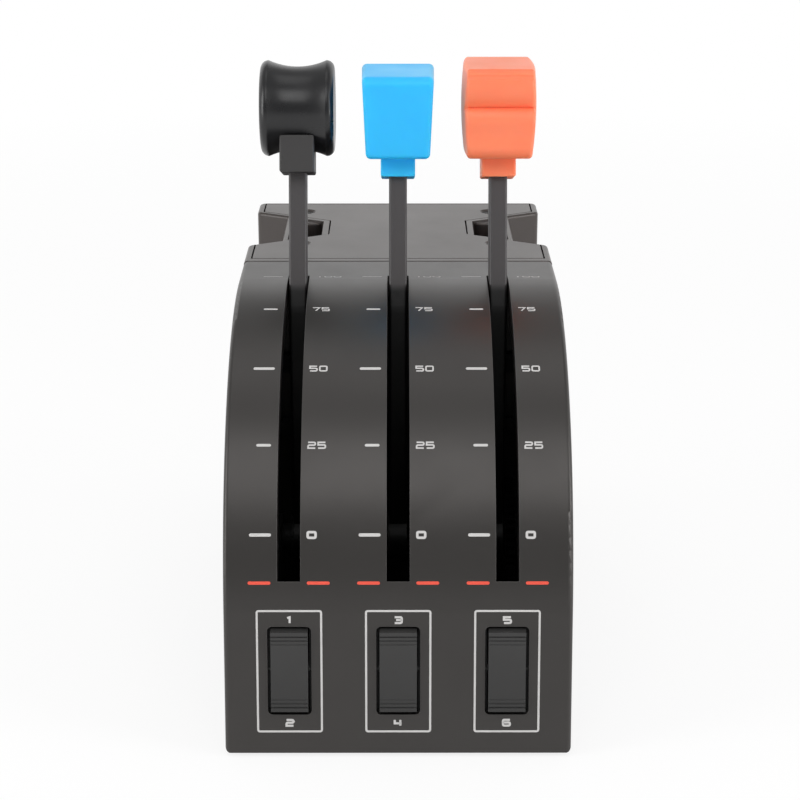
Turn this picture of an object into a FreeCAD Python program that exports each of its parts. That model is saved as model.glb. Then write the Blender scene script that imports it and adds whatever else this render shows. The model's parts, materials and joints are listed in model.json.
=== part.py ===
import FreeCAD, Part
import math
import os

from FreeCAD import Vector

# Desktop throttle quadrant with three levers, three rocker switches and a desk clamp.
# Millimetres. X to the right, Y away from the user, Z up.
# Origin: on the standing plane, in the middle of the whole length and width.

# ---------------------------------------------------------------- housing
body_width = 118.0
arc_radius = 103.0          # curved fascia, concentric with the lever shaft
front_tilt = 8.0            # degrees that the lower face leans back
shaft_height = 36.1         # lever shaft above the standing plane
crest_flat = 25.1           # level top from above the shaft to the joint with the clamp arm
foot_stand = 1.5            # gap that the rubber feet leave under the base
wall = 2.5
edge_round = 1.8
side_return = 6.0           # how far the fascia wraps round onto the sides
seam = 0.15                 # gap between housing shells
shell_rib_steps = [43.0, 88.5]  # ribs on the side shells, from the front bottom edge
post_height = 14.0          # screw posts on the side shells
post_radius = 3.4
gland_height = 20.0

# ---------------------------------------------------------------- levers
side_room = 22.2            # from the outer levers' middle planes to the side faces
lever_width = 6.6
lever_thick = 10.0
lever_lean = 16.0           # degrees that the upper limb leans back at rest
lever_rest = 89.4           # degrees above the horizontal where the bar meets the fascia
lever_travel = 72.0
bend_depth = 11.0           # how far below the fascia's surface the bar bends
bend_round = 8.0
lever_reach = 60.0          # from the fascia surface to the bar's end, inside the knob
lever_eye = 9.0
slot_gap = 0.6              # each side of the bar in its slot
slot_end_gap = 0.5
skirt_depth = 6.0
skirt_wall = 1.4
skirt_past = 8.0            # degrees that the skirt reaches below the slot

# ---------------------------------------------------------------- shaft, gears, sensors
shaft_radius = 3.0
running_gap = 0.05
gear_module = 1.0
sector_teeth = 56           # on the full circle that the sector is cut from
pinion_teeth = 16
mesh_angle = -10.0          # degrees above the horizontal, from the shaft to the pinion
mesh_play = 0.22
gear_width = 3.5
gear_side_gap = 0.8
pinion_bore = 1.5
upright_wall = 2.0
sensor_radius = 8.0
sensor_gap = 2.1            # from the outer sensor to the side shell
tag_pitch = 5.0
washer_thick = 0.8
shaft_end = 1.0             # how far the shaft stands out of the last upright
spacer_wall = 2.0

# ---------------------------------------------------------------- rocker switches
rocker_width = 12.6
rocker_arc = 15.1           # radius of the rocker's ends about its pivot
rocker_pivot_depth = 4.0    # pivot below the face
rocker_proud = 1.9
rocker_dip = 0.9
rocker_gap = 1.1
rocker_end_gap = 0.4
rocker_centre_height = 30.4
rib_count = 3
rib_pitch = 1.35
rocker_deep = 4.0           # below the pivot
rib_groove = 0.56
rib_depth = 0.7
rib_start = 1.5             # from the rocker's end to the first groove
trunnion_radius = 1.5
window_corner = 1.6
switch_wall = 1.6
switch_depth = 12.0
switch_play = 0.3
switch_tag_pitch = 6.0
switch_tag_width = 4.8
switch_tag_thick = 0.8

# ---------------------------------------------------------------- clamp
arm_height = 24.0
arm_wall = 3.0
arm_joint_gap = 0.3
spine_thick = 10.0
jaw_top = 58.0
jaw_thick = 15.0
jaw_inset = 6.0
jaw_corner = 8.0
jaw_wall = 3.0
jaw_past = 18.0             # jaw behind the middle of its screws
spine_inset = 1.5
cover_thick = 2.6
cover_gap = 0.6
cover_side_rim = 3.0
cover_front_rim = 5.0
cover_notch_rim = 3.0
cover_rear_rim = 2.4
notch_front_rim = 26.0      # arm between the joint and the waist notch, at the sides
notch_length = 55.5
notch_rear_rim = 17.5
notch_slope = 16.0
notch_reach = 28.4          # from the side face to the inner end of a well
notch_wall_inset = 13.0     # from the side face to the thin wall that closes the well
notch_wall = 2.0
arm_corner = 3.0
arm_edge = 1.2
boss_radius = 4.5           # round boss on the rear wall of each well
boss_drop = 0.8             # its top below the arm's top
boss_inset = 4.5            # from the well's inner end to its middle
boss_round = 0.8
rim_height = 6.2            # bridge of the rear wall over its window
cover_screw_inset = 20.5    # from the side face
cover_screw_rims = [3.0, 1.5]   # beyond the front and rear ends of the notch
cover_post_radius = 4.0
sink_radius = 1.9           # screw head's cone at its small end
sink_height = 2.0
screw_radius = 1.6
screw_bite = 8.0
bolt_radius = 2.5
bolt_play = 0.2
bolt_sink = 4.0             # counterbore for a bolt's head
bolt_head = 3.5
bolt_rim = 1.8              # head wider than the shank, each side
bolt_socket = 1.9
clamp_bolt_inset = 17.0     # from the side face
clamp_bolt_drops = [15.0, 41.0]  # below the arm
jaw_bolt_spread = 20.0
clamp_screw_inset = 25.0    # from the side face
clamp_thread = 4.0
clamp_boss_wall = 4.0
clamp_gap = 1.0             # wheel below the jaw when fully raised
clamp_lift = 30.0
wheel_radius = 15.0
wheel_thick = 9.0
wheel_lobes = 8
lobe_radius = 4.0
lobe_out = 2.6              # middle of each finger hollow outside the wheel's rim
ball_radius = 2.5
ball_length = 1.5
stud_length = 2.0           # thread above the jaw when fully lowered
pad_radius = 13.0
pad_thick = 4.0
pad_stand = 0.5
pad_play = 0.3
pad_edge = 0.8
desk_pad_thick = 1.5
desk_pad_inset = 6.0
desk_pad_corner = 4.0

# ---------------------------------------------------------------- knobs
neck_width = 12.6
neck_depth = 16.0
neck_round = 0.8
neck_drop = 22.4            # neck's foot below the bar's end
neck_sink = 6.0             # neck's top inside the grip
spool_radius = 17.5
spool_waist = 2.3
spool_width = 27.0
spool_neck_depth = 12.0     # neck's front ahead of the bar's middle, past the waist
spool_neck_rise = 10.8      # neck's top below the spool's middle
spool_round = 2.9           # round edges of the rims
spool_rise = 3.1            # spool's middle above the bar's end
grip_drop = 12.5            # foot of the blue and orange grips below the bar's end
block_width = 25.8
block_foot_width = 23.1
block_flare = 1.3           # wider at the back than at the face
block_depth = 37.0
block_height = 29.9
block_lead = 18.0           # face in front of the bar's middle
block_brow = 3.4
block_fall = 0.6            # top's fall towards the back
block_round = 1.9
ridged_width = 27.2
ridged_depth = 36.0
ridged_height = 32.3
ridged_dome = 140.0         # radius of the bulged sides
ridged_crease = 18.6        # height of the crease above the knob's foot
ridged_bite = 3.6           # depth of the crease
ridged_hollow = 0.5         # soft hollow half way down the lower lobe
ridged_brow = 4.0
ridged_round = 1.5
groove_radius = 1.3
groove_depth = 0.6
groove_turns = [80.0, 26.0]  # degrees above the horizontal, round the brow

# ---------------------------------------------------------------- base, board, feet
base_thick = 2.5
foot_radius = 6.0
foot_sink = 0.6
foot_inset = 19.0           # from the side faces
foot_edge = 0.4
foot_rims = [13.0, 14.0]    # from the front edge and from the joint
base_screw_rims = [13.0, 8.5]
base_screw_inset = 2.0      # from the tongue's inner face
floor_front = 52.0          # chassis tray, from the front edge and from the joint
floor_rear = 13.0
floor_thick = 2.5
tray_screw_inset = 3.2
tray_screw_rim = 5.0
board_thick = 1.6
board_stand = 5.0
board_inset = 6.5           # from the side faces
board_depth = 28.0
board_front = 21.0
board_post_inset = 5.0
board_post_radius = 3.0
connector_width = 6.0
connector_height = 6.0
connector_rear = 3.0        # connector's back behind the board's middle
lead_thick = 1.0
lead_width = 4.4
lead_offset = 2.8           # from the sensor's mounting face to the middle of its tags
tag_length = 4.0
connector_depth = 5.0
gland_radius = 4.5
gland_bore = 2.3
gland_flange = 2.0
gland_nose = 6.0

# ---------------------------------------------------------------- places worked out
tilt = math.radians(front_tilt)
arc_z = shaft_height
top_height = shaft_height + arc_radius
shaft_depth = (arc_radius + (arc_z - foot_stand) * math.sin(tilt)) / math.cos(tilt)
body_depth = shaft_depth + crest_flat
overall_depth = body_depth + notch_front_rim + notch_length + notch_rear_rim
front_y = -overall_depth / 2
rear_y = overall_depth / 2
joint_y = front_y + body_depth
arc_y = front_y + shaft_depth
half_width = body_width / 2
lever_pitch = half_width - side_room
lever_names = ["throttle", "propeller", "mixture"]
lever_places = [-lever_pitch, 0.0, lever_pitch]
switch_names = ["left", "middle", "right"]
sector_radius = gear_module * sector_teeth / 2
pinion_radius = gear_module * pinion_teeth / 2
mesh_distance = sector_radius + pinion_radius
base_top = foot_stand + base_thick
sector_inner = lever_width / 2
sector_outer = sector_inner + gear_width
upright_inner = sector_outer + gear_side_gap
upright_outer = upright_inner + upright_wall
sensor_depth = side_room - wall - sensor_gap - upright_outer
bend_radius = arc_radius - bend_depth
arm_bottom = top_height - arm_height
spine_rear = joint_y + arm_joint_gap + spine_thick
notch_front_y = joint_y + notch_front_rim
notch_rear_y = rear_y - notch_rear_rim
notch_inner = half_width - notch_reach
notch_wall_outer = half_width - notch_wall_inset
clamp_screw_spread = half_width - clamp_screw_inset
clamp_screw_y = (notch_front_y + notch_rear_y) / 2
neck_start = lever_reach - neck_drop
spool_centre = lever_reach + spool_rise
grip_bottom = lever_reach - grip_drop


def on_arc(angle, radius):
    """Point at an angle above the horizontal, seen from the shaft towards the user."""
    turn = math.radians(angle)
    return arc_y - radius * math.cos(turn), arc_z + radius * math.sin(turn)


pinion_y, pinion_z = on_arc(mesh_angle, mesh_distance)


# ---------------------------------------------------------------- helpers
def flat(points, axis="x", level=0.0):
    """Closed face through points given in the plane across the axis."""
    if axis == "x":
        corners = [Vector(level, a, b) for a, b in points]
    elif axis == "y":
        corners = [Vector(a, level, b) for a, b in points]
    else:
        corners = [Vector(a, b, level) for a, b in points]
    return Part.Face(Part.makePolygon(corners + [corners[0]]))


def along_x(points, low, high):
    return flat(points, "x", low).extrude(Vector(high - low, 0, 0))


def along_z(points, low, high):
    return flat(points, "z", low).extrude(Vector(0, 0, high - low))


def box(x_low, x_high, y_low, y_high, z_low, z_high):
    corner = Vector(x_low, y_low, z_low)
    return Part.makeBox(x_high - x_low, y_high - y_low, z_high - z_low, corner)


def rod_x(radius, low, high, y, z):
    return Part.makeCylinder(radius, high - low, Vector(low, y, z), Vector(1, 0, 0))


def rod_y(radius, low, high, x, z):
    return Part.makeCylinder(radius, high - low, Vector(x, low, z), Vector(0, 1, 0))


def rod_z(radius, low, high, x, y):
    return Part.makeCylinder(radius, high - low, Vector(x, y, low), Vector(0, 0, 1))


def both_sides(points):
    """Mirror a right-hand outline, listed from front to rear, to a closed full outline."""
    return points + [(-x, y) for x, y in reversed(points)]


def clean(shape):
    return shape.removeSplitter()


def long_edges(shape, test):
    return [edge for edge in shape.Edges if test(edge.BoundBox)]


# ---------------------------------------------------------------- housing shells
def housing_prism(inset, low, high, bottom, rear):
    """The side outline, moved inwards by inset, as a block between two X places."""
    radius = arc_radius - inset
    touch_y = arc_y - radius * math.cos(tilt)
    touch_z = arc_z + radius * math.sin(tilt)
    mid_y, mid_z = on_arc((front_tilt + 90) / 2, radius)
    start = Vector(low, touch_y - (touch_z - bottom) * math.tan(tilt), bottom)
    touch = Vector(low, touch_y, touch_z)
    middle = Vector(low, mid_y, mid_z)
    crest = Vector(low, arc_y, arc_z + radius)
    back_top = Vector(low, rear, arc_z + radius)
    back_bottom = Vector(low, rear, bottom)
    edges = [
        Part.LineSegment(start, touch).toShape(),
        Part.Arc(touch, middle, crest).toShape(),
        Part.LineSegment(crest, back_top).toShape(),
        Part.LineSegment(back_top, back_bottom).toShape(),
        Part.LineSegment(back_bottom, start).toShape(),
    ]
    return Part.Face(Part.Wire(edges)).extrude(Vector(high - low, 0, 0))


def housing_block():
    """Outer form with its long edges rounded."""
    block = housing_prism(0, -half_width, half_width, foot_stand, joint_y)
    side_edges = long_edges(block, lambda b: b.XLength < 1e-6 and b.YMin < joint_y - 1)
    return block.makeFillet(edge_round, side_edges)


def slot_cut(x):
    """Slot that follows the fascia from the low stop to just behind the bar at rest."""
    half = lever_width / 2 + slot_gap
    half_bar = lever_thick / 2 / math.cos(math.radians(lever_lean))
    bar_angle = math.degrees((half_bar + slot_end_gap) / arc_radius)
    low_angle = lever_rest - lever_travel - bar_angle
    inner = arc_radius - wall - skirt_depth - 1
    outer = arc_radius + 1
    y_high = on_arc(lever_rest, arc_radius)[0] + half_bar + slot_end_gap
    slant = math.degrees((outer - inner) * math.tan(math.radians(lever_lean)) / inner)
    middle_angle = (low_angle + 90) / 2
    places = [on_arc(angle, outer) for angle in (low_angle, middle_angle, 90)]
    inners = [on_arc(angle, inner) for angle in (low_angle - slant, middle_angle, 90)]
    at = [Vector(x - half, y, z) for y, z in places]
    inside = [Vector(x - half, y, z) for y, z in inners]
    corner_out = Vector(x - half, y_high, arc_z + outer)
    corner_in = Vector(x - half, y_high, arc_z + inner)
    edges = [
        Part.Arc(at[0], at[1], at[2]).toShape(),
        Part.LineSegment(at[2], corner_out).toShape(),
        Part.LineSegment(corner_out, corner_in).toShape(),
        Part.LineSegment(corner_in, inside[2]).toShape(),
        Part.Arc(inside[2], inside[1], inside[0]).toShape(),
        Part.LineSegment(inside[0], at[0]).toShape(),
    ]
    return Part.Face(Part.Wire(edges)).extrude(Vector(2 * half, 0, 0))


def slot_skirt(x):
    """Stiffening skirt inside the fascia round one slot."""
    half = lever_width / 2 + slot_gap + skirt_wall
    outer = housing_prism(wall - 0.5, x - half, x + half, foot_stand, joint_y)
    inner = housing_prism(wall + skirt_depth, x - half, x + half, foot_stand, joint_y)
    ring = outer.cut(inner)
    low_y, low_z = on_arc(lever_rest - lever_travel - skirt_past, arc_radius)
    back_y = on_arc(lever_rest, arc_radius)[0] + lever_thick
    keep = box(x - half, x + half, low_y - 5, back_y, low_z, top_height)
    return ring.common(keep)


def face_frame(x, height):
    """Placement on the lower face: local X across, local Y up the face, local Z outwards."""
    y = front_y + (height - foot_stand) * math.tan(tilt)
    turn = FreeCAD.Rotation(Vector(1, 0, 0), 90 - front_tilt)
    return FreeCAD.Placement(Vector(x, y, height), turn)


def on_face(shape, x):
    placed = shape.copy()
    placed.Placement = face_frame(x, rocker_centre_height)
    return placed


def rounded_block(width, length, low, high, corner):
    block = box(-width / 2, width / 2, -length / 2, length / 2, low, high)
    uprights = long_edges(block, lambda b: b.XLength < 1e-6 and b.YLength < 1e-6)
    return block.makeFillet(corner, uprights)


def rocker_window(x):
    width = rocker_width + 2 * rocker_gap
    length = 2 * (rocker_arc + rocker_end_gap)
    return on_face(rounded_block(width, length, -wall - 1, 1, window_corner), x)


def front_cover():
    block = housing_block()
    hollow = housing_prism(wall, -half_width + wall, half_width - wall, -5, joint_y + 5)
    cover = block.cut(hollow)
    for side in (-1, 1):
        low = min(side * (half_width - wall), side * (half_width + 1))
        window = housing_prism(side_return, low, low + wall + 1, -5, joint_y + 5)
        cover = cover.cut(window)
    for x in lever_places:
        cover = cover.fuse(slot_skirt(x))
    for x in lever_places:
        cover = cover.cut(slot_cut(x))
        cover = cover.cut(rocker_window(x))
    return clean(cover)


def side_shell(side):
    """Flat side wall with a tongue that locates it behind the fascia's return."""
    outer_x = side * half_width
    inner_x = side * (half_width - wall)
    tongue_x = side * (half_width - 2 * wall)
    low, high = sorted((outer_x, inner_x))
    slab = housing_block().common(
        housing_prism(side_return + seam, low, high, foot_stand, joint_y)
    )
    t_low, t_high = sorted((inner_x, tongue_x))
    t_back = joint_y - wall - seam
    tongue = housing_prism(wall + seam, t_low, t_high, base_top + seam, t_back)
    core = housing_prism(side_return + wall, t_low, t_high, base_top - 5, t_back + 5)
    shell = slab.fuse(tongue.cut(core))
    for step in shell_rib_steps:
        y = front_y + step
        rib = box(t_low, t_high, y, y + wall, base_top + seam, arc_z)
        shell = shell.fuse(rib)
    for x, y in base_screw_places():
        if x * side > 0:
            post_top = base_top + post_height
            post = rod_z(post_radius, base_top, post_top, x, y)
            web = box(t_low, t_high, y - post_radius, y + post_radius, base_top, post_top)
            shell = shell.fuse(post.fuse(web))
            shell = shell.cut(rod_z(screw_radius - 0.1, base_top - 1, base_top + screw_bite + 1, x, y))
    return clean(shell)


def base_screw_places():
    x = half_width - 2 * wall - base_screw_inset
    rows = (front_y + base_screw_rims[0], joint_y - base_screw_rims[1])
    return [(sx * x, y) for sx in (-1, 1) for y in rows]


def base_plate():
    back = joint_y - wall - seam
    reach = half_width - wall - seam
    plate = housing_prism(wall + seam, -reach, reach, foot_stand, back)
    plate = plate.common(box(-reach, reach, front_y, back, foot_stand, base_top))
    for x, y in foot_places():
        plate = plate.cut(rod_z(foot_radius + seam, foot_stand - 1, foot_stand + foot_sink, x, y))
    for x, y in board_posts():
        post = rod_z(board_post_radius, foot_stand + 1, base_top + board_stand, x, y)
        plate = plate.fuse(post).cut(rod_z(1.1, foot_stand + 1, base_top + board_stand + 1, x, y))
    for x, y in base_screw_places():
        plate = plate.cut(rod_z(screw_radius, foot_stand - 1, base_top + 1, x, y))
    return clean(plate)


def base_screws():
    """Screws from below, through the base into the side shells."""
    screw = pan_screw(base_thick + screw_bite, screw_radius - 0.1, 2.4, 1.2)
    return screws_at(screw, base_screw_places(), foot_stand, upwards=True)


def foot_places():
    x = half_width - foot_inset
    return [(sx * x, y) for sx in (-1, 1) for y in (front_y + foot_rims[0], joint_y - foot_rims[1])]


def feet():
    pads = []
    for x, y in foot_places():
        pad = rod_z(foot_radius, 0, foot_stand + foot_sink, x, y)
        rim = long_edges(pad, lambda b: b.ZMax < 1e-3)
        pads.append(pad.makeChamfer(foot_edge, rim))
    return Part.makeCompound(pads)


def rear_cover():
    reach = half_width - wall - seam
    plate = box(-reach, reach, joint_y - wall, joint_y, foot_stand, top_height - wall - seam)
    plate = plate.cut(rod_y(gland_radius, joint_y - wall - 1, joint_y + 1, 0, gland_height))
    for x, z in clamp_bolt_places():
        plate = plate.cut(rod_y(bolt_radius + bolt_play, joint_y - wall - 1, joint_y + 1, x, z))
    return clean(plate)


def cable_gland():
    """Strain relief collar for the lead, with a flange on each side of the rear cover."""
    collar = rod_y(gland_radius - 0.1, joint_y - wall, joint_y, 0, gland_height)
    flange = gland_radius + gland_flange
    inner = rod_y(flange, joint_y - wall - gland_flange, joint_y - wall, 0, gland_height)
    face = Vector(0, joint_y, gland_height)
    nose = Part.makeCone(flange, gland_radius, gland_nose, face, Vector(0, 1, 0))
    gland = collar.fuse(inner).fuse(nose)
    reach = gland_nose + wall + gland_flange
    return clean(gland.cut(rod_y(gland_bore, joint_y - reach, joint_y + reach, 0, gland_height)))


# ---------------------------------------------------------------- chassis and electronics
def upright_places():
    first = lever_places[0] - upright_outer
    return [first] + [x + upright_inner for x in lever_places]


def chassis():
    """Moulded tray with four uprights that carry the lever shaft and the sensors."""
    low_y = front_y + floor_front
    high_y = joint_y - floor_rear
    reach = half_width - 2 * wall - seam
    tray = box(-reach, reach, low_y, high_y, base_top, base_top + floor_thick)
    for x in upright_places():
        eye = rod_x(lever_eye, x, x + upright_wall, arc_y, arc_z)
        seat = rod_x(sensor_radius, x, x + upright_wall, pinion_y, pinion_z)
        foot = base_top + floor_thick / 2
        web = along_x(
            [
                (low_y + 4, foot),
                (pinion_y - sensor_radius + 1, pinion_z + 4),
                (pinion_y, pinion_z + sensor_radius - 0.3),
                (arc_y, arc_z + lever_eye - 0.3),
                (arc_y + lever_eye - 0.5, arc_z + 2),
                (high_y - 4, foot),
            ],
            x,
            x + upright_wall,
        )
        tray = tray.fuse(web.fuse(eye).fuse(seat))
    span = (-half_width, half_width)
    tray = tray.cut(rod_x(shaft_radius, span[0], span[1], arc_y, arc_z))
    tray = tray.cut(rod_x(pinion_bore + 1, lever_places[0], span[1], pinion_y, pinion_z))
    for x, y in chassis_screw_places():
        tray = tray.cut(rod_z(screw_radius, base_top - 1, base_top + floor_thick + 1, x, y))
    return clean(tray)


def chassis_screw_places():
    x = half_width - 2 * wall - seam - tray_screw_inset
    near = front_y + floor_front + tray_screw_rim
    far = joint_y - floor_rear - tray_screw_rim
    return [(sx * x, y) for sx in (-1, 1) for y in (near, far)]


def pan_screw(shank, radius, head_radius, head_height):
    """Cross-slotted screw along -Z with its head seated on the plane z = 0."""
    head = rod_z(head_radius, 0, head_height, 0, 0)
    rim = long_edges(head, lambda b: b.ZMin > head_height - 1e-3)
    head = head.makeFillet(head_height * 0.4, rim)
    arm = head_radius * 0.6
    drive = box(-arm, arm, -0.35, 0.35, head_height * 0.5, head_height + 1)
    drive = drive.fuse(box(-0.35, 0.35, -arm, arm, head_height * 0.5, head_height + 1))
    return clean(head.cut(drive).fuse(rod_z(radius, -shank, 0, 0, 0)))


def screws_at(screw, places, seat, upwards=False):
    copies = []
    for x, y in places:
        one = screw.rotated(Vector(0, 0, 0), Vector(1, 0, 0), 180) if upwards else screw
        copies.append(one.translated(Vector(x, y, seat)))
    return Part.makeCompound(copies)


def chassis_screws():
    screw = pan_screw(floor_thick, screw_radius - 0.1, 2.6, 1.9)
    return screws_at(screw, chassis_screw_places(), base_top + floor_thick)


def board_middle():
    return front_y + board_front + board_depth / 2


def connector_back():
    return board_middle() + connector_rear


def board_posts():
    x = half_width - board_inset - board_post_inset
    y = board_depth / 2 - board_post_inset
    return [(sx * x, board_middle() + sy * y) for sx in (-1, 1) for sy in (-1, 1)]


def circuit_board():
    low = base_top + board_stand
    middle = board_middle()
    reach = half_width - board_inset
    board = box(-reach, reach, middle - board_depth / 2, middle + board_depth / 2, low, low + board_thick)
    top = low + board_thick
    board = board.fuse(box(-6, 6, middle - 4, middle + 8, top, top + 1.6))
    for index in range(len(lever_places)):
        x = tag_middle(index)
        back = connector_back()
        half = connector_width / 2
        board = board.fuse(box(x - half, x + half, back - connector_depth, back, top, top + connector_height))
    for x, y in board_posts():
        board = board.cut(rod_z(1.2, low - 1, top + 1, x, y))
    return clean(board)


def board_screws():
    screw = pan_screw(board_thick, 1.1, 2.2, 1.6)
    return screws_at(screw, board_posts(), base_top + board_stand + board_thick)


def tag_middle(index):
    """X place of a sensor's solder tags and of the lead that serves them."""
    return lever_places[index] + upright_outer + lead_offset


def sensor_leads():
    """Flat lead from each sensor's tags to its connector on the board."""
    top = pinion_z - sensor_radius - tag_length
    board_top = base_top + board_stand + board_thick
    near = connector_back()
    far = pinion_y + 6
    down = board_top + 3.0
    turn = near + (top - lead_thick - down) + 1.0
    outline = [
        (far, top),
        (turn, top),
        (near, down + lead_thick),
        (near, down),
        (turn, top - lead_thick),
        (far, top - lead_thick),
    ]
    half = lead_width / 2
    leads = []
    for index in range(len(lever_places)):
        x = tag_middle(index)
        leads.append(along_x(outline, x - half, x + half))
    return Part.makeCompound(leads)


def switch_leads():
    """Flat lead from each rocker switch's tags down to the board."""
    low = -wall - switch_depth - tag_length - lead_thick
    strip = box(-2.4, 2.4, -30, 6.4, low, low + lead_thick)
    board_top = base_top + board_stand + board_thick
    under = box(-half_width, half_width, front_y, rear_y, -20, board_top)
    return Part.makeCompound([on_face(strip, x).cut(under) for x in lever_places])


def shaft():
    reach = upright_places()[-1] + upright_wall + shaft_end
    rod = rod_x(shaft_radius, -reach, reach, arc_y, arc_z)
    ends = long_edges(rod, lambda b: b.XLength < 1e-6)
    return rod.makeChamfer(0.5, ends)


def ring_x(outer, inner, low, high, y, z):
    return rod_x(outer, low, high, y, z).cut(rod_x(inner, low - 1, high + 1, y, z))


def spacer_span(index):
    """From the washer beside a lever to the upright on its left."""
    x = lever_places[index]
    upright = upright_places()[index] + upright_wall
    return upright, x - lever_width / 2 - washer_thick


def spacers():
    tubes = []
    for index in range(len(lever_places)):
        low, high = spacer_span(index)
        tubes.append(ring_x(shaft_radius + spacer_wall, shaft_radius, low, high, arc_y, arc_z))
    return Part.makeCompound(tubes)


def friction_washers():
    """Slip washers that hold each lever by friction, on its plain side."""
    rings = []
    for x in lever_places:
        high = x - lever_width / 2
        low = high - washer_thick
        rings.append(ring_x(lever_eye - 1, shaft_radius, low, high - 0.02, arc_y, arc_z))
    return Part.makeCompound(rings)


def sensor(index):
    """Rotary sensor can, on the upright beside its lever, with its solder tags."""
    low = lever_places[index] + upright_outer
    can = rod_x(sensor_radius, low, low + sensor_depth, pinion_y, pinion_z)
    rim = long_edges(can, lambda b: b.XMin > low + sensor_depth - 1e-3)
    can = can.makeChamfer(0.8, rim)
    for step in (-1, 0, 1):
        y = pinion_y + step * tag_pitch
        tag_low = pinion_z - sensor_radius - tag_length
        middle = low + lead_offset
        tag = box(middle - 0.5, middle + 0.5, y - 0.9, y + 0.9, tag_low, pinion_z)
        can = can.fuse(tag)
    return clean(can.cut(rod_x(pinion_bore + running_gap, low - 1, low + 4, pinion_y, pinion_z)))


# ---------------------------------------------------------------- gears
def involute(angle):
    return math.tan(angle) - angle


def tooth_outline(count, middle, internal_play):
    """Radius and angle pairs up one flank and down the other of one involute tooth."""
    pitch = gear_module * count / 2
    base = pitch * math.cos(math.radians(20))
    half = math.pi / 2 / count - internal_play / 2 / pitch
    flank = []
    for rise in (-1.15, -0.4, 0.0, 0.5, 0.9):
        radius = pitch + rise * gear_module
        roll = math.acos(min(1.0, base / max(radius, base)))
        flank.append((radius, half - involute(roll) + involute(math.radians(20))))
    up = [(radius, middle - math.degrees(width)) for radius, width in flank]
    down = [(radius, middle + math.degrees(width)) for radius, width in reversed(flank)]
    return up + down


def gear_face(count, angles, y, z, level, closing):
    outline = []
    for middle in angles:
        for radius, angle in tooth_outline(count, middle, mesh_play):
            turn = math.radians(angle)
            outline.append((y - radius * math.cos(turn), z + radius * math.sin(turn)))
    return flat(outline + closing, "x", level)


def sector_gear(index):
    """Toothed sector beside the bar, with its hub on the shaft and a lightening slot."""
    x = lever_places[index] + sector_inner
    step = 360 / sector_teeth
    after = 2
    before = int(lever_travel / step) + 3
    angles = [mesh_angle + step * number for number in range(-after, before)]
    face = gear_face(sector_teeth, angles, arc_y, arc_z, x, [(arc_y, arc_z)])
    plate = face.extrude(Vector(gear_width, 0, 0))
    inner = ring_x(sector_radius - 5, lever_eye + 3, x - 1, x + gear_width + 1, arc_y, arc_z)
    wedge_far = 2 * sector_radius
    low_y, low_z = on_arc(angles[1], wedge_far)
    high_y, high_z = on_arc(angles[-2], wedge_far)
    mid_y, mid_z = on_arc((angles[1] + angles[-2]) / 2, wedge_far)
    corners = [(arc_y, arc_z), (low_y, low_z), (mid_y, mid_z), (high_y, high_z)]
    wedge = along_x(corners, x - 1, x + gear_width + 1)
    plate = plate.cut(inner.common(wedge))
    hub = rod_x(lever_eye, x, x + gear_width + gear_side_gap - 0.05, arc_y, arc_z)
    bore = rod_x(shaft_radius + running_gap, x - 1, x + gear_width + 2, arc_y, arc_z)
    return clean(plate.fuse(hub).cut(bore))


def pinion(index):
    """Sensor spindle with the small gear that the sector drives."""
    x = lever_places[index] + sector_inner
    step = 360 / pinion_teeth
    facing = mesh_angle + 180
    angles = [facing + step * (number + 0.5) for number in range(pinion_teeth)]
    gear = gear_face(pinion_teeth, angles, pinion_y, pinion_z, x, []).extrude(Vector(gear_width, 0, 0))
    spindle = rod_x(pinion_bore, x, lever_places[index] + upright_outer + 3.8, pinion_y, pinion_z)
    return clean(gear.fuse(spindle))


# ---------------------------------------------------------------- levers
lean = math.radians(lever_lean)
bar_y, bar_z = on_arc(lever_rest, arc_radius)


def up_bar(distance, across=0.0):
    """Point beside the upper limb's centre line, from the fascia surface upwards."""
    y = bar_y + distance * math.sin(lean) + across * math.cos(lean)
    z = bar_z + distance * math.cos(lean) - across * math.sin(lean)
    return y, z


def lever_bar(index):
    """Flat bar with an eye on the shaft, bent back where it enters the slot."""
    x = lever_places[index]
    low = x - lever_width / 2
    high = x + lever_width / 2
    half = lever_thick / 2
    bend = -(arc_radius - bend_radius)
    outline = [
        (arc_y - half, arc_z),
        up_bar(bend, -half),
        up_bar(lever_reach, -half),
        up_bar(lever_reach, half),
        up_bar(bend, half),
        (arc_y + half, arc_z),
    ]
    bar = along_x(outline, low, high)
    bends = long_edges(bar, lambda b: b.XLength > lever_width - 0.01 and arc_z + lever_thick < b.ZMax < bar_z)
    bar = bar.makeFillet(bend_round, bends)
    visible = long_edges(bar, lambda b: b.XLength < 1e-6 and b.ZMax > bar_z + 5 and b.ZLength > 20)
    bar = bar.makeFillet(1.0, visible)
    bar = bar.fuse(rod_x(lever_eye, low, high, arc_y, arc_z))
    return clean(bar.cut(rod_x(shaft_radius + running_gap, low - 1, high + 1, arc_y, arc_z)))


def bar_socket(index, deepest):
    """Room for the bar inside a knob or neck."""
    x = lever_places[index]
    half = lever_thick / 2
    outline = [up_bar(-5, -half), up_bar(deepest, -half), up_bar(deepest, half), up_bar(-5, half)]
    return along_x(outline, x - lever_width / 2, x + lever_width / 2)


def neck(index, top):
    x = lever_places[index]
    half = neck_depth / 2
    outline = [up_bar(neck_start, -half), up_bar(top, -half), up_bar(top, half), up_bar(neck_start, half)]
    block = along_x(outline, x - neck_width / 2, x + neck_width / 2)
    return block.makeFillet(neck_round, long_edges(block, lambda b: b.ZLength > 3))


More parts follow.
